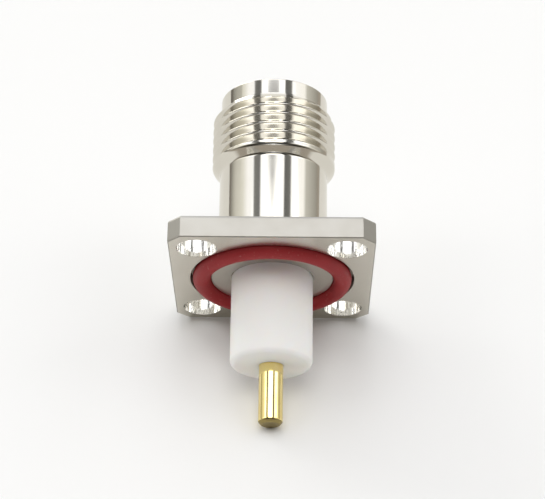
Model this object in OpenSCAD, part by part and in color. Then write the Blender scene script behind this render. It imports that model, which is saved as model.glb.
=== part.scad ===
// Threaded coaxial panel jack: a square flange with a face seal, an extended insulator and a solder pin.
// The axis runs along Y, and the origin is the centre of the flange's sealing face.
// The coupling thread points to +Y. The insulator and the solder pin pass through the panel to -Y.

/* [Flange] */
// Width of the square flange across its flats
flange_w = 17.5; // [16.5:0.1:20]
// Thickness of the flange
flange_t = 2; // [1.8:0.1:4]
// Leg of the 45 degree cut at each corner
corner_cut = 1.1; // [0.5:0.1:1.8]
// Distance between neighbouring screw holes
screw_pitch = 12.7; // [12.6:0.1:13.5]
// Diameter of each screw hole
screw_hole_d = 3.4; // [2.4:0.1:3.5]

/* [Seal] */
// Inside diameter of the sealing ring
ring_id = 10.7; // [9:0.1:10.8]
// Cross-section diameter of the sealing ring
ring_cs = 1.6; // [1:0.1:1.7]
// How far the free ring stands out of its groove
ring_proud = 0.75; // [0.2:0.05:0.8]
// Play between the ring and the inner wall of its groove
groove_play = 0.05; // [0.02:0.01:0.08]
// Room between the ring and the outer wall of its groove
groove_room = 0.2; // [0.05:0.05:0.25]

/* [Barrel] */
// Length from the sealing face to the rim of the barrel
barrel_len = 17.5; // [16:0.1:22]
// Diameter of the plain neck between the flange and the thread
neck_d = 9.6; // [8.8:0.1:9.8]
// Diameter of the plain pilot in front of the thread
pilot_d = 9.6; // [9.2:0.1:9.8]
// Length of the pilot
pilot_len = 1.6; // [1:0.05:2.5]
// Radius of the fillet where the neck meets the flange
neck_fillet = 0.3; // [0.1:0.05:0.4]

/* [Coupling thread] */
// Major diameter of the thread
thread_d = 11; // [10.8:0.1:11.4]
// Length of the threaded band, with its end chamfers
thread_len = 5.95; // [4.5:0.05:8]
// Pitch of the thread
thread_pitch = 0.907; // [0.75:0.001:1]

/* [Mating socket] */
// Bore of the mating socket
socket_d = 8.1; // [7.5:0.05:8.3]
// Depth from the rim to the reference plane at the bottom of the socket
socket_depth = 8.4; // [7:0.1:9.5]
// Thickness of the web behind the reference plane
web_t = 1; // [0.6:0.1:2]
// Leg of the chamfer at the mouth of the socket
mouth_chamfer = 0.25; // [0.1:0.05:0.4]

/* [Insulator] */
// Diameter of the insulator's tail, which passes through the panel
insulator_d = 7.1; // [6:0.1:7.2]
// Length of the tail past the sealing face
insulator_tail = 8.1; // [3:0.1:20]
// Diameter of the nose inside the mating socket
nose_d = 4.8; // [4.2:0.1:5.2]
// Length of the nose past the reference plane
nose_len = 5; // [4:0.1:6]
// Leg of the edge chamfers on the insulator
insulator_chamfer = 0.3; // [0.1:0.05:0.4]
// How deep the body's swaged ridge holds the insulator
swage_depth = 0.2; // [0.1:0.05:0.3]
// Length of the swaged ridge, just inside the sealing face
swage_len = 0.6; // [0.55:0.05:1]

/* [Centre contact] */
// Diameter of the contact and of its solder pin
pin_d = 2.1; // [1.8:0.05:2.6]
// Length of the solder pin past the insulator
pin_tail = 5.3; // [2:0.1:12]
// Chamfer at the end of the solder pin
pin_chamfer = 0.25; // [0.1:0.05:0.5]
// How far the contact's mouth lies behind the end of the nose
tip_recess = 0.2; // [0:0.05:0.5]
// Bore of the contact's socket
contact_bore_d = 1.4; // [1.2:0.05:1.5]
// Depth of the contact's bore, without its drill point
contact_bore_depth = 5; // [4.5:0.1:7]
// Width of the slots between the spring fingers
slot_w = 0.2; // [0.1:0.05:0.25]
// Length of the slots
slot_len = 4; // [2.5:0.1:4.3]
// Radial height of the retaining barbs
barb_height = 0.2; // [0.1:0.05:0.3]
// Length of one barb along the axis
barb_len = 0.8; // [0.5:0.1:1.2]
// Plain length between two barbs
barb_space = 0.3; // [0.1:0.05:0.6]
// How far inside the insulator's end the first barb lies
barb_inset = 0.1; // [0.05:0.05:0.15]

/* [Fits] */
// Radial gap of the pressed fits
fit_gap = 0.02; // [0.01:0.005:0.04]
// Radial room for the spring fingers inside the nose
finger_room = 0.1; // [0.05:0.05:0.2]
// Edge break on the turned metal edges
edge_break = 0.1; // [0.05:0.05:0.2]

/* [Hidden] */
$fn = 128;

nickel = "#cbc6ba";
silicone_red = "#a8262b";
white_ptfe = "#eeece8";
gold = "#e2b23a";

// Cuts run this far past the faces that they open
past = 1;

// Stations along the axis
pilot_start = barrel_len - pilot_len;
thread_start = pilot_start - thread_len;
reference_plane = barrel_len - socket_depth;
shoulder = reference_plane - web_t;
tail_end = -insulator_tail;
nose_end = reference_plane + nose_len;
pin_end = tail_end - pin_tail;
first_barb = tail_end + barb_inset;
contact_tip = nose_end - tip_recess;
finger_root = contact_tip - slot_len;

// Radii of the turned pieces
neck_r = neck_d / 2;
pilot_r = pilot_d / 2;
thread_r = thread_d / 2;
socket_r = socket_d / 2;
tail_r = insulator_d / 2;
nose_r = nose_d / 2;
pin_r = pin_d / 2;
contact_bore_r = contact_bore_d / 2;

// The ring's groove in the sealing face
ring_r = ring_cs / 2;
ring_centre_r = ring_id / 2 + ring_r;
groove_depth = ring_cs - ring_proud;
groove_inner_r = ring_id / 2 - groove_play;
groove_outer_r = ring_id / 2 + ring_cs + groove_room;

// The thread has the unified 60 degree form: crest flats of 1/8 pitch, and 17/24 of the sharp V deep
half_flank_angle = 30;
crest_flat = thread_pitch / 8;
sharp_v = thread_pitch / 2 / tan(half_flank_angle);
thread_depth = sharp_v * 17 / 24;
groove_mouth = (thread_pitch - crest_flat) / 2;
groove_root = groove_mouth - thread_depth * tan(half_flank_angle);

// Full crests lie between the 45 degree chamfers at the two ends of the threaded band
crest_start = thread_start + thread_r - neck_r;
crest_end = pilot_start - (thread_r - pilot_r);
thread_turns = floor((crest_end - crest_start) / thread_pitch);
first_turn = (crest_start + crest_end - (thread_turns - 1) * thread_pitch) / 2;

// The drill's cone ends the contact's bore
drill_angle = 118;
drill_point = contact_bore_r / tan(drill_angle / 2);
barbs = 2;

// Turns children from the Z axis to the connector's own axis, +Y
module on_axis() {
    rotate([-90, 0, 0]) children();
}

// A turned solid, from a section of radius and station
module turned() {
    on_axis() rotate_extrude() children();
}

// One turn of the thread as a groove of the true section, from its lower to its upper crest
function thread_groove(y) = [
    [thread_r, y - groove_mouth],
    [thread_r - thread_depth, y - groove_root],
    [thread_r - thread_depth, y + groove_root],
    [thread_r, y + groove_mouth]
];

// The outside of the barrel, from the sealing face to the rim
barrel_outside = concat(
    [
        [0, 0],
        [neck_r + neck_fillet, 0],
        [neck_r + neck_fillet, flange_t + neck_fillet],
        [neck_r, flange_t + neck_fillet],
        [neck_r, thread_start],
        [thread_r, crest_start]
    ],
    [for (turn = [0 : thread_turns - 1]) each thread_groove(first_turn + turn * thread_pitch)],
    [
        [thread_r, crest_end],
        [pilot_r, pilot_start],
        [pilot_r, barrel_len - edge_break],
        [pilot_r - edge_break, barrel_len],
        [0, barrel_len]
    ]
);

module barrel_section() {
    difference() {
        polygon(barrel_outside);
        translate([neck_r + neck_fillet, flange_t + neck_fillet]) circle(neck_fillet);
    }
}

// The stepped bore: the swaged ridge, the insulator's seat, the hole in the web and the mating socket
tail_bore_r = tail_r + fit_gap;
ridge_bore_r = tail_bore_r - swage_depth;
web_bore_r = nose_r + fit_gap;
ridge_end = edge_break + swage_len;
stepped_bore = [
    [0, -past],
    [tail_bore_r + edge_break, -past],
    [tail_bore_r + edge_break, 0],
    [tail_bore_r, edge_break],
    [ridge_bore_r, edge_break],
    [ridge_bore_r, ridge_end],
    [tail_bore_r, ridge_end],
    [tail_bore_r, shoulder],
    [web_bore_r, shoulder],
    [web_bore_r, reference_plane],
    [socket_r, reference_plane],
    [socket_r, barrel_len - mouth_chamfer],
    [socket_r + mouth_chamfer, barrel_len],
    [socket_r + mouth_chamfer, barrel_len + past],
    [0, barrel_len + past]
];

seal_groove = [
    [groove_inner_r, -past],
    [groove_outer_r, -past],
    [groove_outer_r, groove_depth],
    [groove_inner_r, groove_depth]
];

// The square outline with its corners cut at 45 degrees
module flange_outline() {
    intersection() {
        square(flange_w, center = true);
        rotate(45) square(sqrt(2) * (flange_w - corner_cut), center = true);
    }
}

module screw_holes() {
    for (x = [-1, 1], z = [-1, 1])
        translate([x * screw_pitch / 2, z * screw_pitch / 2]) circle(d = screw_hole_d);
}

module flange_plate() {
    on_axis() linear_extrude(flange_t) difference() {
        flange_outline();
        screw_holes();
    }
}

// The plated brass body, turned and milled in one piece
module flange_body() {
    color(nickel) difference() {
        union() {
            flange_plate();
            turned() barrel_section();
        }
        turned() polygon(stepped_bore);
        turned() polygon(seal_groove);
    }
}

// The silicone ring rests on the floor of its groove
module sealing_ring() {
    color(silicone_red) translate([0, groove_depth - ring_r, 0])
        turned() translate([ring_centre_r, 0]) circle(ring_r);
}

// The barbs lead towards the mating end and hold with their square backs
function barb_profile(gap) = [
    for (barb = [0 : barbs - 1])
        let (y = first_barb + barb * (barb_len + barb_space))
        each [
            [pin_r + gap, y - gap],
            [pin_r + barb_height + gap, y - gap],
            [pin_r + gap, y + barb_len]
        ]
];

// The insulator's bore is the contact's own outline with the fit's gap, and wider round the fingers
contact_bore = concat(
    [[0, tail_end - past], [pin_r + fit_gap, tail_end - past]],
    barb_profile(fit_gap),
    [
        [pin_r + fit_gap, finger_root],
        [pin_r + finger_room, finger_root],
        [pin_r + finger_room, nose_end + past],
        [0, nose_end + past]
    ]
);

insulator_outside = [
    [0, tail_end],
    [tail_r - insulator_chamfer, tail_end],
    [tail_r, tail_end + insulator_chamfer],
    [tail_r, edge_break - fit_gap],
    [tail_r - swage_depth, edge_break - fit_gap],
    [tail_r - swage_depth, ridge_end + fit_gap],
    [tail_r, ridge_end + fit_gap],
    [tail_r, shoulder - insulator_chamfer],
    [tail_r - insulator_chamfer, shoulder],
    [nose_r, shoulder],
    [nose_r, nose_end - insulator_chamfer],
    [nose_r - insulator_chamfer, nose_end],
    [0, nose_end]
];

// The insulator is one piece between the web, where its shoulder seats, and the swaged ridge
module insulator() {
    color(white_ptfe) difference() {
        turned() polygon(insulator_outside);
        turned() polygon(contact_bore);
    }
}

contact_outside = concat(
    [
        [0, pin_end],
        [pin_r - pin_chamfer, pin_end],
        [pin_r, pin_end + pin_chamfer]
    ],
    barb_profile(0),
    [
        [pin_r, contact_tip - edge_break],
        [pin_r - edge_break, contact_tip],
        [0, contact_tip]
    ]
);

contact_socket = [
    [0, contact_tip - contact_bore_depth - drill_point],
    [contact_bore_r, contact_tip - contact_bore_depth],
    [contact_bore_r, contact_tip - edge_break],
    [contact_bore_r + edge_break, contact_tip],
    [contact_bore_r + edge_break, contact_tip + past],
    [0, contact_tip + past]
];

// Two crossed saw cuts leave four spring fingers
module finger_slots() {
    for (turn = [45, 135])
        on_axis() rotate(turn)
            translate([-slot_w / 2, -pin_d, finger_root]) cube([slot_w, 2 * pin_d, slot_len + past]);
}

// The gold-plated contact, a slotted socket in front and a solid solder pin behind
module centre_contact() {
    color(gold) difference() {
        turned() polygon(contact_outside);
        turned() polygon(contact_socket);
        finger_slots();
    }
}

flange_body();
sealing_ring();
insulator();
centre_contact();
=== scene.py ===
import math

import bmesh
import bpy
import numpy as np
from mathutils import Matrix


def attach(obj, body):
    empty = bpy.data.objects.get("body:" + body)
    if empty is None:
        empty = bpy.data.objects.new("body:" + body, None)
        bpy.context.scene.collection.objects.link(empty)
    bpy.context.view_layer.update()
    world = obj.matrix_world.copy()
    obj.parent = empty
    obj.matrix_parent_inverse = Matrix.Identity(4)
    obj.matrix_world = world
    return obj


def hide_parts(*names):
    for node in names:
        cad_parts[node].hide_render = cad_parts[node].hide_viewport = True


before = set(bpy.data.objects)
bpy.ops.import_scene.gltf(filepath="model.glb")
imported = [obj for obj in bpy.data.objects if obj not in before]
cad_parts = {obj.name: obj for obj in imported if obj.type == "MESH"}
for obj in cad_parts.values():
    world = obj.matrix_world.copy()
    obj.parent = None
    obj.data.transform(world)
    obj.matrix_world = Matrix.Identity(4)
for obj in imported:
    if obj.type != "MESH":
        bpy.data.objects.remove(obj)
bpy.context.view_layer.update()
mm = 0.001
fullTurn = 2 * math.pi
print("frame loaded:", ", ".join(sorted(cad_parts)))


# Mesh tools. All sizes are in millimetres until a mesh is made.

# A corner (radius, station, cut) becomes a parabola from cut before it to cut after it, or over most of a
# short straight. The two ends stay, and each long straight gets a point at hold from both its ends, so that
# its shading stays flat. Points nearer than least to the one before are left out.
def roundedPath(corners, steps=5, hold=0.05, most=0.45, least=0.001):
    corners = np.array(corners, float)
    middle, cut = corners[1:-1, :2], corners[1:-1, 2:]
    back, ahead = corners[:-2, :2] - middle, corners[2:, :2] - middle
    start = middle + back * np.minimum(cut / np.linalg.norm(back, axis=1, keepdims=True), most)
    end = middle + ahead * np.minimum(cut / np.linalg.norm(ahead, axis=1, keepdims=True), most)
    t = np.linspace(0, 1, steps).reshape(1, -1, 1)
    bends = (1 - t) ** 2 * start[:, None] + 2 * t * (1 - t) * middle[:, None] + t ** 2 * end[:, None]
    path = np.concatenate([corners[:1, :2], bends.reshape(-1, 2), corners[-1:, :2]])
    apart = np.linalg.norm(np.diff(path, axis=0), axis=1) > least
    path = path[np.r_[True, apart]]
    run = np.diff(path, axis=0)
    length = np.linalg.norm(run, axis=1)
    isLong = length > 4 * hold
    share = np.where(isLong, hold / length, 0)[:, None]
    held = np.stack([path[:-1], path[:-1] + run * share, path[1:] - run * share], 1)
    keep = np.stack([length > 0, isLong, isLong], 1)
    return np.concatenate([held[keep], path[-1:]])


# A point at radius r and station y, turned by a from the top, is (r sin a, y, r cos a).
def turned(radius, station, turn):
    return np.stack(np.broadcast_arrays(radius * np.sin(turn), station, radius * np.cos(turn)), -1)


# The smaller of two heights, with the crossing rounded over a width k.
def softMin(a, b, k):
    h = np.clip(0.5 + 0.5 * (b - a) / k, 0, 1)
    return b + (a - b) * h - k * h * (1 - h)


# Four corners for each cell of a grid of points; wrap joins the last column to the first.
def gridCells(rows, columns, wrap, first):
    index = first + np.arange(rows * columns).reshape(rows, columns)
    right = np.roll(index, -1, 1) if wrap else index[:, 1:]
    left = index if wrap else index[:, :-1]
    return np.stack([left[:-1], right[:-1], right[1:], left[1:]], -1).reshape(-1, 4)


# Grids (points, wrap, then a value or one per cell for each mark) laid end to end: points, cells and marks.
def joinGrids(grids):
    sizes = np.cumsum([0] + [g[0].shape[0] * g[0].shape[1] for g in grids])
    cells = [gridCells(*g[0].shape[:2], g[1], n) for g, n in zip(grids, sizes)]
    points = [g[0].reshape(-1, 3) for g in grids]
    marks = [[np.broadcast_to(value, (g[0].shape[0] - 1, len(c) // (g[0].shape[0] - 1))).ravel()
              for value in g[2:]] for g, c in zip(grids, cells)]
    return np.concatenate(points), np.concatenate(cells), np.concatenate(marks, 1)


def makePiece(name, node, material, points, cells, marks=None, sharp=38, seam=0.0002):
    mesh = bpy.data.meshes.new(name)
    mesh.from_pydata((points * mm).tolist(), [], cells.tolist())
    for label, values in (marks or {}).items():
        mesh.attributes.new(label, "FLOAT", "FACE").data.foreach_set("value", values.astype(np.float32))
    work = bmesh.new()
    work.from_mesh(mesh)
    bmesh.ops.remove_doubles(work, verts=work.verts, dist=seam * mm)  # closes seams and poles
    bmesh.ops.recalc_face_normals(work, faces=work.faces)
    work.to_mesh(mesh)
    openEdges = sum(not e.is_manifold for e in work.edges)
    work.free()
    mesh.shade_smooth()
    mesh.set_sharp_from_angle(angle=math.radians(sharp))
    mesh.materials.append(material)
    piece = bpy.data.objects.new(name, mesh)
    bpy.context.scene.collection.objects.link(piece)
    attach(piece, "root")
    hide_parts(node)
    print(name, len(mesh.polygons), "faces,", openEdges, "open edges")
    return piece


# Node tools

# A node with its settings. An input is a value or another node's output; i0 and i1 are inputs by number.
def put(tree, kind, settings=None, **inputs):
    node = tree.nodes.new("ShaderNode" + kind)
    for name, value in (settings or {}).items():
        setattr(node, name, value)
    for name, value in inputs.items():
        byNumber = name[0] == "i" and name[1:].isdigit()
        socket = node.inputs[int(name[1:])] if byNumber else node.inputs[name.replace("_", " ")]
        if isinstance(value, bpy.types.NodeSocket):
            tree.links.new(value, socket)
        else:
            socket.default_value = value
    return node


def sums(tree, operation, *values):
    inputs = {f"i{n}": value for n, value in enumerate(values)}
    return put(tree, "Math", {"operation": operation}, **inputs).outputs[0]


def vectors(tree, operation, output, **inputs):
    return put(tree, "VectorMath", {"operation": operation}, **inputs).outputs[output]


def remap(tree, value, low, high, newLow, newHigh):
    return put(tree, "MapRange", Value=value, From_Min=low, From_Max=high, To_Min=newLow,
               To_Max=newHigh).outputs["Result"]


def rising(tree, value, low, high):
    return remap(tree, value, low, high, 0.0, 1.0)


def falling(tree, value, low, high):
    return remap(tree, value, low, high, 1.0, 0.0)


# The product of two or more masks
def allOf(tree, first, *others):
    rest = others[0] if len(others) == 1 else allOf(tree, *others)
    return sums(tree, "MULTIPLY", first, rest)


def blendColours(tree, amount, first, second):
    return put(tree, "Mix", {"data_type": "RGBA"}, i0=amount, i6=first, i7=second).outputs[2]


def mark(tree, name):
    return put(tree, "Attribute", {"attribute_name": name}).outputs["Fac"]


def newMaterial(name):
    material = bpy.data.materials.new(name)
    material.use_nodes = True
    tree = material.node_tree
    shader = tree.nodes["Principled BSDF"]
    place = put(tree, "TexCoord").outputs["Object"]
    return material, tree, shader, place


def newGroup(name, inputs, outputs):
    group = bpy.data.node_groups.new(name, "ShaderNodeTree")
    for label, kind in inputs:
        group.interface.new_socket(name=label, in_out="INPUT", socket_type="NodeSocket" + kind)
    for label in outputs:
        group.interface.new_socket(name=label, in_out="OUTPUT", socket_type="NodeSocketFloat")
    return group, group.nodes.new("NodeGroupInput"), group.nodes.new("NodeGroupOutput")


def useGroup(tree, group, **inputs):
    return put(tree, "Group", {"node_tree": group}, **inputs)


# Effects that the materials share

lineLook = {"stationShare": 0.93, "detail": 3.0, "roughness": 0.6}
filmLook = {
    "cloudDetail": 3.0, "cloudRoughness": 0.55, "cloudFrom": 0.3, "cloudTo": 0.7,
    "speckScale": 9.0, "speckDetail": 2.0, "speckRoughness": 0.5, "speckFrom": 0.66, "speckTo": 0.74,
}


# Lathe lines: noise along radius plus station only, so that each line runs right round the axis. The station
# counts a little less, or a 45 degree chamfer would have no lines.
def makeToolLines(look):
    group, given, result = newGroup("toolLines", [("Place", "Vector"), ("Lines per mm", "Float")], ["Height"])
    xyz = put(group, "SeparateXYZ", Vector=given.outputs["Place"]).outputs
    radius = sums(group, "SQRT", sums(group, "ADD", sums(group, "MULTIPLY", xyz["X"], xyz["X"]),
                                      sums(group, "MULTIPLY", xyz["Z"], xyz["Z"])))
    along = sums(group, "ADD", radius, sums(group, "MULTIPLY", xyz["Y"], look["stationShare"]))
    w = sums(group, "MULTIPLY", sums(group, "MULTIPLY", along, 1 / mm), given.outputs["Lines per mm"])
    noise = put(group, "TexNoise", {"noise_dimensions": "1D"}, W=w, Scale=1.0, Detail=look["detail"],
                Roughness=look["roughness"])
    group.links.new(noise.outputs[0], result.inputs["Height"])
    return group


# Handling film: broad soft clouds, and small specks where a finer noise peaks.
def makeHandling(look):
    group, given, result = newGroup("handling", [("Place", "Vector"), ("Per mm", "Float")],
                                    ["Cloud", "Specks"])
    place = given.outputs["Place"]
    scale = sums(group, "MULTIPLY", given.outputs["Per mm"], 1 / mm)
    cloud = put(group, "TexNoise", Vector=place, Scale=scale, Detail=look["cloudDetail"],
                Roughness=look["cloudRoughness"])
    fine = put(group, "TexNoise", Vector=place, Scale=sums(group, "MULTIPLY", scale, look["speckScale"]),
               Detail=look["speckDetail"], Roughness=look["speckRoughness"])
    clouds = rising(group, cloud.outputs[0], look["cloudFrom"], look["cloudTo"])
    specks = rising(group, fine.outputs[0], look["speckFrom"], look["speckTo"])
    group.links.new(clouds, result.inputs["Cloud"])
    group.links.new(specks, result.inputs["Specks"])
    return group


toolLines = makeToolLines(lineLook)
handling = makeHandling(filmLook)


# Nickel plate: bright on the turned barrel, satin on the flange, with painted shade on the land and a painted
# highlight inside the screw holes

nickelLook = {
    "bright": (0.73, 0.705, 0.645, 1), "brightDull": (0.70, 0.675, 0.61, 1),
    "satin": (0.435, 0.425, 0.40, 1), "satinDull": (0.41, 0.395, 0.365, 1),
    "brightRough": 0.06, "satinRough": 0.42, "filmPerMm": 0.35, "filmRough": 0.035,
    "linesPerMm": 7.0, "lineRough": 0.03, "lineStrength": 0.35, "lineHeight": 0.0008,
    # The pale cut colour in the screw holes is a painted highlight; the dark scores are drill marks.
    "cut": (0.90, 0.89, 0.86, 1), "score": (0.20, 0.19, 0.17, 1), "scoreWidth": 0.02, "streakHeight": 0.006,
    "streaksPerTurn": 24.0, "streaksPerMm": 0.7, "bundlesPerMm": 0.9, "bundleSlant": 1.7,
    "streakDetail": 2.0, "streakRoughness": 0.7,
}
markNames = ("polish", "toneAndShade", "drilled", "lathe")  # each face of the body has these four values


# Drill streaks: noise by the angle round the nearest screw hole's axis, a little askew to the axis. A
# slanting count of X and Z breaks them into bundles. A thin score runs where the noise crosses its middle.
def drillStreaks(tree, place, look, holePlace):
    xyz = put(tree, "SeparateXYZ", Vector=place).outputs
    across = sums(tree, "SUBTRACT", sums(tree, "ABSOLUTE", xyz["X"]), holePlace)
    rise = sums(tree, "SUBTRACT", sums(tree, "ABSOLUTE", xyz["Z"]), holePlace)
    angle = sums(tree, "DIVIDE", sums(tree, "ARCTAN2", rise, across), fullTurn)
    slanted = sums(tree, "ADD", xyz["X"], sums(tree, "MULTIPLY", xyz["Z"], look["bundleSlant"]))
    bundle = sums(tree, "ROUND", sums(tree, "MULTIPLY", slanted, look["bundlesPerMm"] / mm))
    around = sums(tree, "ADD", sums(tree, "MULTIPLY", angle, look["streaksPerTurn"]), bundle)
    along = sums(tree, "MULTIPLY", xyz["Y"], look["streaksPerMm"] / mm)
    where = put(tree, "CombineXYZ", X=around, Y=along).outputs[0]
    noise = put(tree, "TexNoise", {"noise_dimensions": "2D"}, Vector=where, Scale=1.0,
                Detail=look["streakDetail"], Roughness=look["streakRoughness"])
    fromMiddle = sums(tree, "ABSOLUTE", sums(tree, "SUBTRACT", noise.outputs[0], 0.5))
    return rising(tree, fromMiddle, 0.0, look["scoreWidth"])


def nickelPlate(look, holePlace):
    material, tree, shader, place = newMaterial("nickelPlate")
    polish, toneAndShade, drilled, lathe = (mark(tree, name) for name in markNames)
    cloud = useGroup(tree, handling, Place=place, Per_mm=look["filmPerMm"]).outputs["Cloud"]
    lines = useGroup(tree, toolLines, Place=place, Lines_per_mm=look["linesPerMm"]).outputs["Height"]
    streaks = drillStreaks(tree, place, look, holePlace)
    bright = blendColours(tree, cloud, look["bright"], look["brightDull"])
    satin = blendColours(tree, cloud, look["satin"], look["satinDull"])
    # This mark picks satin or bright colour by finish; on the land its middle value is painted shade between
    # the ring and the insulator.
    plain = blendColours(tree, toneAndShade, satin, bright)
    # Screw hole walls: painted highlight in the pale cut colour, with dark drill scores.
    scores = blendColours(tree, streaks, look["score"], look["cut"])
    tree.links.new(blendColours(tree, drilled, plain, scores), shader.inputs["Base Color"])
    rough = remap(tree, polish, 0.0, 1.0, look["satinRough"], look["brightRough"])
    worn = sums(tree, "MULTIPLY_ADD", cloud, look["filmRough"], rough)
    lined = sums(tree, "MULTIPLY_ADD", sums(tree, "MULTIPLY", lines, lathe), look["lineRough"], worn)
    tree.links.new(lined, shader.inputs["Roughness"])
    bump = put(tree, "Bump", Strength=sums(tree, "MULTIPLY", lathe, look["lineStrength"]),
               Distance=look["lineHeight"] * mm, Height=lines)
    scored = put(tree, "Bump", Strength=drilled, Distance=look["streakHeight"] * mm, Height=streaks,
                 Normal=bump.outputs[0])
    tree.links.new(scored.outputs[0], shader.inputs["Normal"])
    shader.inputs["Metallic"].default_value = 1.0
    return material


# Red silicone: matte, with a fine moulded grain and a little pale dust

siliconeLook = {
    "red": (0.29, 0.011, 0.015, 1), "redPale": (0.35, 0.019, 0.023, 1), "filmPerMm": 0.5,
    "dust": (0.50, 0.20, 0.19, 1), "dustShare": 0.35, "rough": 0.45, "filmRough": 0.12,
    "grainPerMm": 14.0, "grainDetail": 2.0, "grainStrength": 0.3, "grainHeight": 0.006,
    "ior": 1.42, "sheen": 0.45,
}


def redSilicone(look):
    material, tree, shader, place = newMaterial("redSilicone")
    film = useGroup(tree, handling, Place=place, Per_mm=look["filmPerMm"])
    cloud = film.outputs["Cloud"]
    red = blendColours(tree, cloud, look["red"], look["redPale"])
    dust = sums(tree, "MULTIPLY", film.outputs["Specks"], look["dustShare"])
    tree.links.new(blendColours(tree, dust, red, look["dust"]), shader.inputs["Base Color"])
    rough = remap(tree, cloud, 0.0, 1.0, look["rough"], look["rough"] + look["filmRough"])
    tree.links.new(rough, shader.inputs["Roughness"])
    grain = put(tree, "TexNoise", Vector=place, Scale=look["grainPerMm"] / mm, Detail=look["grainDetail"])
    bump = put(tree, "Bump", Strength=look["grainStrength"], Distance=look["grainHeight"] * mm,
               Height=grain.outputs[0])
    tree.links.new(bump.outputs[0], shader.inputs["Normal"])
    shader.inputs["IOR"].default_value = look["ior"]
    shader.inputs["Specular IOR Level"].default_value = look["sheen"]
    return material


# White PTFE: soft and slightly waxy, with faint tool rings

ptfeLook = {
    "white": (0.98, 0.975, 0.965, 1), "whiteWarm": (0.95, 0.94, 0.92, 1), "filmPerMm": 0.25, "filmShade": 0.5,
    "linesPerMm": 5.0, "lineShade": 0.35, "lineStrength": 0.3, "lineHeight": 0.004,
    "rough": 0.42, "lineRough": 0.1, "lineFrom": 0.2, "lineTo": 0.8,
    "ior": 1.36, "glow": 0.35, "glowColour": (1.0, 0.72, 0.5), "glowDepth": 0.7,
}


def whitePtfe(look):
    material, tree, shader, place = newMaterial("whitePtfe")
    cloud = useGroup(tree, handling, Place=place, Per_mm=look["filmPerMm"]).outputs["Cloud"]
    lines = useGroup(tree, toolLines, Place=place, Lines_per_mm=look["linesPerMm"]).outputs["Height"]
    clouded = sums(tree, "MULTIPLY", cloud, look["filmShade"])
    shade = sums(tree, "MULTIPLY_ADD", lines, look["lineShade"], clouded)
    tree.links.new(blendColours(tree, shade, look["white"], look["whiteWarm"]), shader.inputs["Base Color"])
    rough = remap(tree, lines, look["lineFrom"], look["lineTo"], look["rough"],
                  look["rough"] + look["lineRough"])
    tree.links.new(rough, shader.inputs["Roughness"])
    bump = put(tree, "Bump", Strength=look["lineStrength"], Distance=look["lineHeight"] * mm, Height=lines)
    tree.links.new(bump.outputs[0], shader.inputs["Normal"])
    shader.inputs["IOR"].default_value = look["ior"]
    shader.inputs["Subsurface Weight"].default_value = look["glow"]
    shader.inputs["Subsurface Radius"].default_value = look["glowColour"]
    shader.inputs["Subsurface Scale"].default_value = look["glowDepth"] * mm
    return material


# Gold plate: polished, a little darker where it was handled, and a dark brass colour on the pin's end that is
# painted shade for the dark floor it reflects

goldLook = {
    "gold": (0.98, 0.83, 0.40, 1), "goldDeep": (0.93, 0.75, 0.30, 1), "rough": 0.07,
    "filmPerMm": 0.8, "filmRough": 0.05, "linesPerMm": 9.0, "lineStrength": 0.25, "lineHeight": 0.001,
    # The dark end colour and its roughness are painted shade on the pin's end
    "paintedEndColour": (0.34, 0.27, 0.11, 1), "paintedEndRough": 0.28,
}


def goldPlate(look):
    material, tree, shader, place = newMaterial("goldPlate")
    paintedEndShade = mark(tree, "paintedEndShade")
    cloud = useGroup(tree, handling, Place=place, Per_mm=look["filmPerMm"]).outputs["Cloud"]
    lines = useGroup(tree, toolLines, Place=place, Lines_per_mm=look["linesPerMm"]).outputs["Height"]
    gold = blendColours(tree, cloud, look["gold"], look["goldDeep"])
    # The pin's end gets a dark brass colour: painted shade.
    tree.links.new(blendColours(tree, paintedEndShade, gold, look["paintedEndColour"]), shader.inputs["Base Color"])
    rough = remap(tree, paintedEndShade, 0.0, 1.0, look["rough"], look["paintedEndRough"])
    tree.links.new(sums(tree, "MULTIPLY_ADD", cloud, look["filmRough"], rough), shader.inputs["Roughness"])
    bump = put(tree, "Bump", Strength=look["lineStrength"], Distance=look["lineHeight"] * mm, Height=lines)
    tree.links.new(bump.outputs[0], shader.inputs["Normal"])
    shader.inputs["Metallic"].default_value = 1.0
    return material


# Flange body

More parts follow.
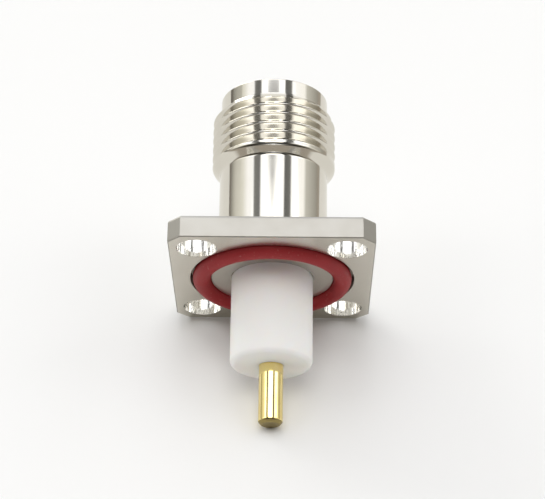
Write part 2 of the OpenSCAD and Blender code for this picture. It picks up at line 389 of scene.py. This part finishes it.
bodySizes = {
    "columns": 256, "flangeHalf": 8.75, "flangeThick": 2.0, "cornerCut": 1.1,
    "nearEdge": 0.1, "farEdge": 0.25, "edgeSteps": 6, "edgeHold": 0.05, "flatSteps": 24, "cutSteps": 16,
    "faceSteps": (0, 0.03, 0.35, 0.7, 0.97, 1),  # from hole to border; short steps keep the faces flat
    "sideSteps": (0, 0.02, 0.14, 0.28, 0.42, 0.56, 0.7, 0.85, 1),  # from outline to barrel
    "holePlace": 6.35, "holeRadius": 1.7, "holeEdge": 0.03, "holeHold": 0.1, "holeSteps": (0.6, 0.3),
    "holeTurns": (138, -48, -58, -212, -222),  # degrees where outline, side, arc and side begin and end
    "chatter": 0.006, "chatterWaves": (17, 29, 43), "chatterTwist": (2, 3), "chatterFade": 0.7,
    "neckRadius": 4.8, "neckFillet": 0.3, "frontFace": 5.3,
    "threadStart": 9.95, "threadEnd": 15.9, "threadRows": 221, "threadRadius": 5.5, "pitch": 0.907,
    "grooveMiddle": 13.2, "crestFlat": 0.1, "rootFlat": 0.04, "rounding": 0.035, "flankAngle": 30.43,
    "crestEase": 0.016, "runOut": -2.65, "runOutTurns": 0.25, "startRounding": 0.16, "endFillet": 0.12,
    "rim": 17.5, "rimEdge": 0.1, "rimBend": 0.03, "mouthChamfer": 0.25, "mouthBend": 0.05, "edge": 0.06,
    "socketRadius": 4.05, "floorBend": 0.1, "webFront": 9.1, "webBack": 8.1, "webHole": 2.42,
    "seatRadius": 3.57, "seatBend": 0.01, "seatChamfer": 0.1, "seatEdge": 0.03, "brightReach": 0.11,
    "ridgeRadius": 3.37, "ridgeStart": 0.1, "ridgeEnd": 0.7, "ridgeBend": 0.02,
    "sealInner": 5.3, "sealOuter": 7.15, "sealDepth": 0.85, "sealBend": 0.04, "rearFace": 7.2,
    # The land's middle value is painted shade, darkening it between the sealing ring and the insulator.
    "barrelMarks": (1.0, 1.0, 0.0, 1.0), "landMarks": (0.4, 0.5, 0.0, 0.3),  # as in markNames
    "frontMarks": (0.4, 0.15, 0.0, 0.3), "rearMarks": (0.54, 0.95, 0.0, 0.05),
    "holeMarks": (0.95, 1.0, 1.0, 0.0), "wallMarks": (0.0, 0.0, 0.0, 0.0),
}


# The right-hand thread: at a station y and turn a, the groove's middle is where (y - middle) / pitch less
# a / turn is whole. The radius climbs from the root along straight flanks that ease off to the crest by the
# fourth power. The groove fades out near the neck, and 45 degree chamfers with small fillets cut both ends.
def threadSurface(s, station, turn):
    share = (station - s["grooveMiddle"]) / s["pitch"] - turn / fullTurn
    whole = np.round(share)
    fromMiddle = np.abs(share - whole) * s["pitch"]
    fade = np.clip((whole + turn / fullTurn - s["runOut"]) / s["runOutTurns"], 0, 1)
    crestAt = (s["pitch"] - s["crestFlat"]) / 2
    steep = 1 / math.tan(math.radians(s["flankAngle"]))
    ease = s["crestEase"] * (1 - np.clip(fromMiddle / crestAt, 0, 1) ** 4)
    flank = s["threadRadius"] - ((crestAt - fromMiddle) * steep - ease) * fade
    root = s["threadRadius"] - (crestAt - s["rootFlat"] / 2) * steep
    radius = -softMin(-flank, -root, s["rounding"])
    radius = softMin(radius, s["threadRadius"], s["rounding"])
    radius = softMin(radius, s["neckRadius"] + station - s["threadStart"], s["startRounding"])
    radius = softMin(radius, s["neckRadius"] + s["threadEnd"] - station, s["rounding"])
    return -softMin(-radius, -s["neckRadius"], s["endFillet"])


# The barrel, socket, seat, land and ring groove as one surface: a path of radius and station carried round.
def turnedBody(s):
    turn = np.arange(s["columns"]) * fullTurn / s["columns"]
    neck = roundedPath([
        (s["frontFace"], s["flangeThick"], 0), (s["neckRadius"], s["flangeThick"], s["neckFillet"]),
        (s["neckRadius"], s["threadStart"] - s["endFillet"], 0)])
    rise = np.linspace(s["threadStart"] - s["endFillet"], s["threadEnd"] + s["endFillet"],
                       s["threadRows"])[1:-1, None]
    inside = roundedPath([
        (s["neckRadius"], s["threadEnd"] + s["endFillet"], 0),
        (s["neckRadius"], s["rim"] - s["rimEdge"], s["rimBend"]),
        (s["neckRadius"] - s["rimEdge"], s["rim"], s["rimBend"]),
        (s["socketRadius"] + s["mouthChamfer"], s["rim"], s["mouthBend"]),
        (s["socketRadius"], s["rim"] - s["mouthChamfer"], s["edge"]),
        (s["socketRadius"], s["webFront"], s["floorBend"]), (s["webHole"], s["webFront"], s["edge"]),
        (s["webHole"], s["webBack"], 0), (s["seatRadius"], s["webBack"], 0),
        (s["seatRadius"], s["ridgeEnd"], 0), (s["ridgeRadius"], s["ridgeEnd"], s["ridgeBend"]),
        (s["ridgeRadius"], s["ridgeStart"], s["ridgeBend"]),
        (s["seatRadius"], s["ridgeStart"], s["seatBend"]),
        (s["seatRadius"] + s["seatChamfer"], 0, s["seatEdge"]), (s["sealInner"], 0, s["sealBend"]),
        (s["sealInner"], s["sealDepth"], s["floorBend"]), (s["sealOuter"], s["sealDepth"], s["floorBend"]),
        (s["sealOuter"], 0, s["sealBend"]), (s["rearFace"], 0, 0)])
    grid = np.concatenate([
        turned(neck[:, :1], neck[:, 1:], turn),
        turned(threadSurface(s, rise, turn), rise, turn),
        turned(inside[:, :1], inside[:, 1:], turn)])
    middle = (grid[:-1] + grid[1:]) / 2
    radius = np.hypot(middle[..., 0], middle[..., 2])
    isBright = (middle[..., 1] > s["flangeThick"]) | (radius < s["seatRadius"] + s["brightReach"])
    marks = [np.where(isBright, bright, dull) for bright, dull in zip(s["barrelMarks"], s["landMarks"])]
    return (grid, True, *marks)


# A quarter of the flange's outline: along one flat, over the 45 degree cut, down the next flat.
def outlineQuarter(s, inset):
    half = s["flangeHalf"] - inset
    cutStart = 2 * s["flangeHalf"] - s["cornerCut"] - math.sqrt(2) * inset - half
    flat, cut = s["flatSteps"], s["cutSteps"]
    at = np.concatenate([np.arange(flat) / flat, 1 + np.arange(cut) / cut, 2 + np.arange(flat + 1) / flat])
    return np.stack([np.interp(at, [0, 1, 2, 3], [0, cutStart, half, half]),
                     np.interp(at, [0, 1, 2, 3], [half, half, cutStart, 0])], -1)


# The closed border of a quarter face: outline, side line, arc round the barrel, side line back.
def quarterBorder(s, inset, arcRadius):
    outline = outlineQuarter(s, inset)
    side = outline[0, 1] + (arcRadius - outline[0, 1]) * np.array(s["sideSteps"])
    turn = np.linspace(math.pi / 2, 0, s["columns"] // 4 + 1)
    arc = np.stack([arcRadius * np.sin(turn), arcRadius * np.cos(turn)], -1)
    right = np.stack([side, side * 0], -1)
    left = right[::-1, ::-1]
    return np.concatenate([outline[:-1], right[:-1], arc[:-1], left[:-1]])


# One quarter of the flange turned to its corner: two faces ruled from the hole to the border, the hole's wall
# and the outer wall with quarter-round edges. Drill chatter is a mean of cosine waves round the hole.
def flangeQuarter(s, quarter):
    near, far, thick = s["nearEdge"], s["farEdge"], s["flangeThick"]
    sides = len(s["sideSteps"]) - 1
    counts = (2 * s["flatSteps"] + s["cutSteps"], sides, s["columns"] // 4, sides)
    stretches = zip(s["holeTurns"], s["holeTurns"][1:], counts)
    angle = np.radians(np.concatenate([np.linspace(a, b, n, endpoint=False) for a, b, n in stretches]))
    waves = s["chatterWaves"]
    wave = sum(np.cos(n * angle + quarter * n + n * n) for n in waves) / len(waves)
    around = np.stack([np.cos(angle), np.sin(angle)], -1)

    def holeLine(grow):
        return s["holePlace"] + around * (s["holeRadius"] + grow)[:, None]

    def atCorner(flat, station):  # (x, z) points at a station, turned to this corner
        a = quarter * math.pi / 2
        x, z = flat[..., 0], flat[..., 1]
        return np.stack(np.broadcast_arrays(x * math.cos(a) + z * math.sin(a), station,
                                            z * math.cos(a) - x * math.sin(a)), -1)

    wide = wave * 0 + s["holeEdge"]
    out = np.array(s["faceSteps"])[:, None, None]
    front = holeLine(wide) * (1 - out) + quarterBorder(s, far, s["frontFace"]) * out
    rear = holeLine(wide) * (1 - out) + quarterBorder(s, near, s["rearFace"]) * out
    edge, hold = s["holeEdge"], s["holeHold"]
    down = [thick, thick - edge, thick - hold, *(thick * step for step in s["holeSteps"]), hold, edge, 0]
    rough = wave * s["chatter"]
    twisted = [np.roll(rough, n) for n in s["chatterTwist"]]
    faded = rough * s["chatterFade"]
    shift = [wide, rough, rough, *twisted, faded, faded, wide]
    hole = np.stack([atCorner(holeLine(grow), y) for grow, y in zip(shift, down)])
    bend = np.radians(np.linspace(0, 90, s["edgeSteps"]))
    over = [(far * (1 - math.sin(b)), thick - far * (1 - math.cos(b))) for b in bend]
    under = [(near * (1 - math.cos(b)), near * (1 - math.sin(b))) for b in bend]
    rows = over + [(0, thick - far - s["edgeHold"]), (0, near + s["edgeHold"])] + under
    wall = np.stack([atCorner(outlineQuarter(s, inset), y) for inset, y in rows])
    return [(atCorner(front, thick), True, *s["frontMarks"]), (atCorner(rear, 0.0), True, *s["rearMarks"]),
            (hole, True, *s["holeMarks"]), (wall, False, *s["wallMarks"])]


def makeBody(s):
    grids = [turnedBody(s)] + [grid for quarter in range(4) for grid in flangeQuarter(s, quarter)]
    points, cells, marks = joinGrids(grids)
    material = nickelPlate(nickelLook, s["holePlace"] * mm)
    return makePiece("threadedFlangeBody", "flange_body", material, points, cells,
                     dict(zip(markNames, marks)))


makeBody(bodySizes)


# Sealing ring

ringSizes = {
    "centreRadius": 6.15, "radius": 0.8, "station": 0.05, "flash": 0.01, "flashWidth": 0.06, "columns": 256,
    "rows": 72,
}


# A torus: a circle of angle b round a centre line, with a thin parting flash at its inner and outer equator,
# which falls off as a bell curve.
def makeRing(s):
    turn = np.arange(s["columns"]) * fullTurn / s["columns"]
    b = np.linspace(0, fullTurn, s["rows"] + 1)[:, None]
    radius = s["radius"] - s["flash"] + s["flash"] * np.exp(-(np.sin(b) / s["flashWidth"]) ** 2)
    grid = turned(s["centreRadius"] + radius * np.cos(b), s["station"] + radius * np.sin(b), turn)
    points, cells, _ = joinGrids([(grid, True, 0.0)])
    return makePiece("sealingRing", "sealing_ring", redSilicone(siliconeLook), points, cells)


makeRing(ringSizes)


# Insulator

insulatorSizes = {
    "tailRadius": 3.55, "tailEnd": -8.1, "tailSeam": -4.0, "chamfer": 0.3, "chamferBend": 0.16,
    "ridgeRadius": 3.35, "ridgeStart": 0.08, "ridgeEnd": 0.72, "ridgeBend": 0.02,
    "shoulder": 8.1, "shoulderBend": 0.05, "noseRadius": 2.4, "noseEnd": 14.1, "noseBend": 0.04,
    "fingerBore": 1.15, "fingerRoot": 9.9, "pinBore": 1.07, "pinBend": 0.02,
    "barbBore": 1.27, "barbBacks": (-6.92, -8.02), "barbLength": 0.82, "columns": 192,
}


# A closed path of radius and station carried round: tail, swage groove, shoulder, nose, back by the bore.
def makeInsulator(s):
    c, soft = s["chamfer"], s["chamferBend"]
    barbs = [corner for back in s["barbBacks"] for corner in (
        (s["pinBore"], back + s["barbLength"], 0), (s["barbBore"], back, 0), (s["pinBore"], back, 0))]
    path = roundedPath([
        (s["tailRadius"], s["tailSeam"], 0), (s["tailRadius"], s["ridgeStart"], s["ridgeBend"]),
        (s["ridgeRadius"], s["ridgeStart"], s["ridgeBend"]),
        (s["ridgeRadius"], s["ridgeEnd"], s["ridgeBend"]),
        (s["tailRadius"], s["ridgeEnd"], s["ridgeBend"]), (s["tailRadius"], s["shoulder"] - c, soft),
        (s["tailRadius"] - c, s["shoulder"], s["shoulderBend"]), (s["noseRadius"], s["shoulder"], 0),
        (s["noseRadius"], s["noseEnd"] - c, soft), (s["noseRadius"] - c, s["noseEnd"], soft),
        (s["fingerBore"], s["noseEnd"], s["noseBend"]), (s["fingerBore"], s["fingerRoot"], 0),
        (s["pinBore"], s["fingerRoot"], 0), *barbs, (s["pinBore"], s["tailEnd"], s["pinBend"]),
        (s["tailRadius"] - c, s["tailEnd"], soft), (s["tailRadius"], s["tailEnd"] + c, soft),
        (s["tailRadius"], s["tailSeam"], 0)])
    turn = np.arange(s["columns"]) * fullTurn / s["columns"]
    points, cells, _ = joinGrids([(turned(path[:, :1], path[:, 1:], turn), True, 0.0)])
    return makePiece("insulatorTail", "insulator", whitePtfe(ptfeLook), points, cells)


makeInsulator(insulatorSizes)


# Centre contact

contactSizes = {
    "pinRadius": 1.05, "pinEnd": -13.4, "chamfer": 0.25, "endBend": 0.08, "sideBend": 0.1, "paintedEndLength": 0.22,
    "barbRadius": 1.25, "barbBacks": (-8.0, -6.9), "barbLength": 0.8, "barbBend": 0.02,
    "fingerRoot": 9.9, "tip": 13.9, "tipEdge": 0.1, "boreRadius": 0.7, "boreBottom": 8.9, "drillPoint": 8.48,
    "slotWidth": 0.2, "fingerColumns": 30,
}


# A path from the pin's end over the outside, into the bore and to the drill point, carried round. Columns
# follow the four slots at 45 degrees: half the slot's angle is the arcsine of half its width over the radius.
def makeContact(s):
    r, e, bore = s["pinRadius"], s["tipEdge"], s["boreRadius"]
    barbs = [corner for back in s["barbBacks"] for corner in (
        (r, back, 0), (s["barbRadius"], back, s["barbBend"]), (r, back + s["barbLength"], 0))]
    pin = roundedPath([(0, s["pinEnd"], 0), (r - s["chamfer"], s["pinEnd"], s["endBend"]),
                       (r, s["pinEnd"] + s["chamfer"], s["sideBend"]), *barbs, (r, s["fingerRoot"], 0)])
    outer = [(r, s["tip"] - e), (r - e, s["tip"])]
    inner = [(bore + e, s["tip"]), (bore, s["tip"] - e), (bore, s["fingerRoot"])]
    path = np.concatenate([pin, outer, inner, [(bore, s["boreBottom"]), (0, s["drillPoint"])]])
    half = np.arcsin(s["slotWidth"] / 2 / np.maximum(path[:, :1], bore))
    n = s["fingerColumns"]
    slot, finger = np.array([-1.0, 0.0]), np.arange(n) / n
    quarter = np.concatenate([half * slot, half + (math.pi / 2 - 2 * half) * finger], 1)
    turn = np.concatenate([quarter + (q + 0.5) * math.pi / 2 for q in range(4)], 1)
    rows, columns = turn.shape
    # The last part of the pin's end is marked for painted shade.
    isPaintedEnd = (path[:-1, 1:] < s["pinEnd"] + s["paintedEndLength"]) * 1.0
    points, cells, (paintedEndShade,) = joinGrids([(turned(path[:, :1], path[:, 1:], turn), True, isPaintedEnd)])
    root = len(pin) - 1  # row of the slots' floor outside
    mouth = root + len(outer)  # last row outside, at the tip
    foot = mouth + len(inner)  # row of the slots' floor inside
    span = n + len(slot)
    inSlot = np.arange(columns) % span < len(slot)
    isOpen = np.zeros((rows - 1, columns), bool)
    isOpen[root:foot] = inSlot
    index = np.arange(rows * columns).reshape(rows, columns)
    edges = np.r_[index[:, ::span], index[:, len(slot)::span]].reshape(2, rows, 4)
    outside, back = edges[:, root:mouth + 1], edges[:, mouth + 1:foot + 1][:, ::-1]
    walls = np.stack([outside[:, :-1], outside[:, 1:], back[:, 1:], back[:, :-1]], -1).reshape(-1, 4)
    at = np.flatnonzero(inSlot)
    floor = np.stack([index[root, at], index[root, at + 1], index[foot, at + 1], index[foot, at]], -1)
    cells = np.concatenate([cells[~isOpen.ravel()], walls, floor])
    paintedEndShade = np.concatenate([paintedEndShade[~isOpen.ravel()], np.zeros(len(walls) + len(floor))])
    return makePiece("centreContact", "centre_contact", goldPlate(goldLook), points, cells,
                     {"paintedEndShade": paintedEndShade})


makeContact(contactSizes)


# Floor: the plane that the flange's edge and the pin's end rest on. In the metal it shows painted reflection
# shade: glossy rays see it darker, and darker still past two lines.

stageLook = {
    "tilt": 30.35, "height": 8.75, "reach": 900.0, "colour": (0.87, 0.87, 0.87, 1), "rough": 0.9,
    # Painted reflection shade: colours that only glossy rays see on the floor, not its own colour
    "reflectedShade": (0.80, 0.79, 0.765, 1), "reflectedDeepShade": (0.38, 0.345, 0.30, 1),  # as the metal shows it
    "rightLine": 95.0, "rightSoft": 2.0, "frontLine": 22.0, "frontSoft": 6.0,
}
tilt = math.radians(stageLook["tilt"])
up = np.array([0, math.sin(tilt), math.cos(tilt)])
away = np.array([0, math.cos(tilt), -math.sin(tilt)])


# A square sheet: reach to both sides along X and along the direction away from the camera.
def makeFloor(s):
    ends = np.array([-s["reach"], s["reach"]])
    low = np.array([0, 0, -s["height"]])
    grid = ends[None, :, None] * np.array([1.0, 0, 0]) + ends[:, None, None] * away + low
    mesh = bpy.data.meshes.new("floorSheet")
    mesh.from_pydata((grid.reshape(-1, 3) * mm).tolist(), [], [(0, 1, 3, 2)])
    material, tree, shader, place = newMaterial("floorPaper")
    right = sums(tree, "MULTIPLY", put(tree, "SeparateXYZ", Vector=place).outputs["X"], 1 / mm)
    back = sums(tree, "MULTIPLY", vectors(tree, "DOT_PRODUCT", "Value", i0=place, i1=tuple(away)), 1 / mm)
    pastRight = rising(tree, right, s["rightLine"] - s["rightSoft"], s["rightLine"] + s["rightSoft"])
    pastFront = falling(tree, back, -s["frontLine"] - s["frontSoft"], s["frontSoft"] - s["frontLine"])
    past = sums(tree, "MAXIMUM", pastRight, pastFront)
    # Painted reflection shade for glossy rays, darker past the right and front lines
    reflectedShade = blendColours(tree, past, s["reflectedShade"], s["reflectedDeepShade"])
    inMetal = put(tree, "LightPath").outputs["Is Glossy Ray"]
    tree.links.new(blendColours(tree, inMetal, s["colour"], reflectedShade), shader.inputs["Base Color"])
    shader.inputs["Roughness"].default_value = s["rough"]
    shader.inputs["Specular IOR Level"].default_value = 0.0
    clear = put(tree, "BsdfTransparent")  # seen from below, the sheet lets a camera through
    mixed = put(tree, "MixShader", i0=put(tree, "NewGeometry").outputs["Backfacing"], i1=shader.outputs[0],
                i2=clear.outputs[0])
    tree.links.new(mixed.outputs[0], tree.nodes["Material Output"].inputs["Surface"])
    mesh.materials.append(material)
    sheet = bpy.data.objects.new("floorSheet", mesh)
    bpy.context.scene.collection.objects.link(sheet)


makeFloor(stageLook)
print("floor ready")


# Studio: a tent of white panels with dark gaps between them, by the angle to either side of straight up. It
# is darker in front. Tilted bright tubes run down both sides and weaker over the middle, with a gray gap
# there. A lamp stands over the front, a fill light behind at the left, and the left side darkens to its end.

studioLook = {
    "strength": 1.33, "background": (0.985, 0.985, 0.985, 1),
    "sides": [  # degrees from straight up, colour
        (-180, (0.27, 0.245, 0.21)), (-100, (0.27, 0.245, 0.21)), (-93, (0.17, 0.155, 0.135)),
        (-87, (0.20, 0.185, 0.165)), (-81, (0.38, 0.37, 0.33)), (-74, (0.57, 0.555, 0.505)),
        (-58, (0.74, 0.73, 0.67)), (-48, (1.0, 1.0, 1.02)), (-38, (1.0, 1.01, 1.04)),
        (-36, (0.165, 0.165, 0.16)), (-25, (0.12, 0.12, 0.12)), (-23, (1.0, 1.01, 1.04)),
        (19.5, (1.0, 1.01, 1.04)), (21, (0.09, 0.09, 0.09)), (32.5, (0.135, 0.135, 0.13)),
        (34.5, (1.0, 1.01, 1.04)), (58, (1.0, 0.99, 0.97)), (63, (0.54, 0.53, 0.49)),
        (78, (0.40, 0.39, 0.355)), (88, (0.32, 0.305, 0.27)), (94, (0.25, 0.235, 0.205)),
        (100, (0.27, 0.245, 0.21)), (180, (0.27, 0.245, 0.21))],
    "depths": [  # degrees from the side plane, negative towards the front; colour
        (-90, (1.0, 1.0, 1.0)), (-80, (0.95, 0.95, 0.95)), (-73, (0.25, 0.25, 0.25)),
        (-60, (0.05, 0.05, 0.05)), (-45, (0.065, 0.06, 0.05)), (-32, (0.26, 0.25, 0.22)),
        (-20, (0.9, 0.9, 0.9)), (-15, (1.0, 1.0, 1.0)), (90, (1.0, 1.0, 1.0))],
    "gapShade": 0.05, "tube": 0.7, "tubeMiddle": 0.4, "tubeTilt": 0.05, "endShade": 0.68, "endSlope": 0.61,
    "lamp": (1.55, 1.5, 1.38), "fill": (2.6, 2.6, 2.5),
    "degrees": {
        "crisp": 0.3, "soft": 1.0, "softer": 4.0, "softest": 6.0,  # widths of the edges below
        "gapTurn": -1.5, "gapHalf": 10.8, "gapTip": -4.6, "gapWide": -1.4, "gapEnd": 0.05,
        "tubeFrom": 38.0, "tubeStart": -9.0, "tubeEnd": 4.0, "endFrom": -61.5, "endLevel": -21.9,
        "lampHalf": 18.0, "lampFront": -36.0, "lampBack": -5.5,
        "fillSide": -40.0, "fillLow": -78.0, "fillBack": 29.5,
    },
}


def angleRamp(tree, angle, stops):
    ramp = put(tree, "ValToRGB", Fac=rising(tree, angle, -math.pi, math.pi))
    ramp.color_ramp.elements.remove(ramp.color_ramp.elements[1])
    for n, (degrees, colour) in enumerate(stops):
        place = degrees / 360 + 0.5
        stop = ramp.color_ramp.elements[0] if n == 0 else ramp.color_ramp.elements.new(place)
        stop.position = place
        stop.color = (*colour, 1)
    return ramp.outputs["Color"]


# A wedge about gapTurn that opens from its tip to its full width and is cut off at gapEnd.
def gapMask(tree, side, depth, a):
    fromMiddle = sums(tree, "ABSOLUTE", sums(tree, "SUBTRACT", side, a["gapTurn"]))
    half = remap(tree, depth, a["gapTip"], a["gapWide"], 0.0, a["gapHalf"])
    return allOf(tree, falling(tree, sums(tree, "SUBTRACT", fromMiddle, half), -a["soft"], a["crisp"]),
                 rising(tree, depth, a["gapTip"], a["gapTip"] + a["soft"]),
                 falling(tree, depth, a["gapEnd"], a["gapEnd"] + a["crisp"]))


# A band of depth that tilts with the side angle, at full strength past tubeFrom on both sides.
def tubeMask(tree, side, depth, a, middleShare, slope):
    level = sums(tree, "MULTIPLY_ADD", side, -slope, depth)
    across = sums(tree, "ABSOLUTE", side)
    return allOf(tree, remap(tree, across, a["tubeFrom"] - a["soft"], a["tubeFrom"], middleShare, 1.0),
                 rising(tree, level, a["tubeStart"] - a["soft"], a["tubeStart"]),
                 falling(tree, level, a["tubeEnd"], a["tubeEnd"] + a["soft"]))


# To the left of endFrom, behind a line of depth that slopes with the side angle.
def endMask(tree, side, depth, a, slope):
    level = sums(tree, "MULTIPLY_ADD", side, slope, depth)
    return allOf(tree, falling(tree, side, a["endFrom"] - a["soft"], a["endFrom"]),
                 rising(tree, level, a["endLevel"] - a["soft"], a["endLevel"] + a["soft"]))


# Up to lampHalf on either side, between lampFront and lampBack in depth.
def lampMask(tree, side, depth, a):
    across = sums(tree, "ABSOLUTE", side)
    return allOf(tree, falling(tree, across, a["lampHalf"] - a["soft"], a["lampHalf"]),
                 rising(tree, depth, a["lampFront"] - a["softer"], a["lampFront"] + a["softer"]),
                 falling(tree, depth, a["lampBack"] - a["soft"], a["lampBack"] + a["soft"]))


# Behind fillBack, from fillLow up to fillSide on the left.
def fillMask(tree, side, depth, a):
    return allOf(tree, rising(tree, depth, a["fillBack"], a["fillBack"] + a["softest"]),
                 falling(tree, side, a["fillSide"] - a["softest"], a["fillSide"]),
                 rising(tree, side, a["fillLow"] - a["softer"], a["fillLow"]))


# Side is a ray's angle from straight up to the left or right, and depth its angle behind the side plane.
def makeStudio(s):
    world = bpy.data.worlds.new("studioTent")
    bpy.context.scene.world = world
    world.use_nodes = True
    tree = world.node_tree
    tree.nodes.clear()
    a = {name: math.radians(value) for name, value in s["degrees"].items()}
    ray = put(tree, "TexCoord").outputs["Generated"]
    x = put(tree, "SeparateXYZ", Vector=ray).outputs["X"]
    side = sums(tree, "ARCTAN2", x, vectors(tree, "DOT_PRODUCT", "Value", i0=ray, i1=tuple(up)))
    depth = sums(tree, "ARCSINE", vectors(tree, "DOT_PRODUCT", "Value", i0=ray, i1=tuple(away)))
    panels = vectors(tree, "MULTIPLY", "Vector", i0=angleRamp(tree, side, s["sides"]),
                     i1=angleRamp(tree, depth, s["depths"]))
    gap = remap(tree, gapMask(tree, side, depth, a), 0.0, 1.0, 1.0, s["gapShade"])
    tube = tubeMask(tree, side, depth, a, s["tubeMiddle"], s["tubeTilt"])
    end = remap(tree, endMask(tree, side, depth, a, s["endSlope"]), 0.0, 1.0, 1.0, s["endShade"])
    shade = sums(tree, "MULTIPLY", sums(tree, "MULTIPLY_ADD", tube, s["tube"], gap), end)
    shaded = vectors(tree, "SCALE", "Vector", i0=panels, Scale=shade)
    lamp = vectors(tree, "SCALE", "Vector", i0=s["lamp"], Scale=lampMask(tree, side, depth, a))
    fill = vectors(tree, "SCALE", "Vector", i0=s["fill"], Scale=fillMask(tree, side, depth, a))
    lit = vectors(tree, "ADD", "Vector", i0=shaded, i1=lamp)
    colour = vectors(tree, "ADD", "Vector", i0=lit, i1=fill)
    tent = put(tree, "Background", Color=colour, Strength=s["strength"])
    plain = put(tree, "Background", Color=s["background"], Strength=1.0)
    seen = put(tree, "LightPath").outputs["Is Camera Ray"]
    mixed = put(tree, "MixShader", i0=seen, i1=tent.outputs[0], i2=plain.outputs[0])
    tree.links.new(mixed.outputs[0], put(tree, "OutputWorld").inputs["Surface"])


makeStudio(studioLook)
bpy.context.scene.view_settings.view_transform = "Standard"
print("studio ready")


# Camera: fitted to the flange's corners, the screw holes and the barrel in the photo

cameraPlace = {
    "at": (0.001692, -0.063972, 0.145268), "turned": (24.724, 0.351, 0.695), "lens": 119.91, "sensor": 36,
    "clipFrom": 0.005, "clipTo": 5,
}
cameraData = bpy.data.cameras.new("camera")
cameraData.sensor_width = cameraPlace["sensor"]
cameraData.lens = cameraPlace["lens"]
cameraData.clip_start = cameraPlace["clipFrom"]
cameraData.clip_end = cameraPlace["clipTo"]
camera = bpy.data.objects.new("camera", cameraData)
bpy.context.scene.collection.objects.link(camera)
camera.location = cameraPlace["at"]
camera.rotation_euler = [math.radians(a) for a in cameraPlace["turned"]]
bpy.context.scene.camera = camera
print("camera ready")
